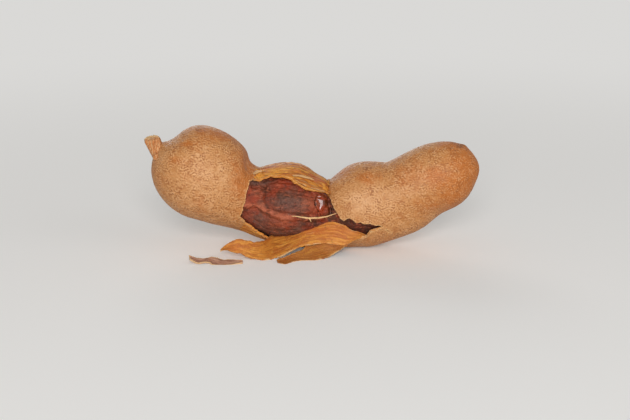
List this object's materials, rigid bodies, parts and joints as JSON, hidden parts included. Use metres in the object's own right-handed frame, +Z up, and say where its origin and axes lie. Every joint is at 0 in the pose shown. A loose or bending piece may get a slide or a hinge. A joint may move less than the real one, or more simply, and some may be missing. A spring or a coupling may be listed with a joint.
{
  "type": "tamarind pod",
  "caption": "Curved tamarind pod lying on its belly, its brittle shell broken open at one lobe to show the sticky pulp, with peeled shell flaps.",
  "frame": {"origin": "on the table, under the middle of the pod's outline", "axes": "+X along the pod from the stalk to the tip, the broken side faces -Y, +Z up"},
  "size_m": [0.0996, 0.0334, 0.0374],
  "materials": {
    "shell_skin": "matt, finely wrinkled brittle skin",
    "stalk_wood": "dry striated wood",
    "pulp": "sticky, half gloss",
    "fibre": "dry pale fibre",
    "shell_lining": "smooth satin inner face of the shell",
    "shell_chip": "dry matt shell"
  },
  "bodies": {
    "root": {"pod_shell": "shell_skin", "stalk": "stalk_wood", "pulp": "pulp", "fibre_strand": "fibre", "shell_flap_long": "shell_lining", "shell_flap_short": "shell_lining", "shell_chip": "shell_chip"}
  },
  "joints": []
}
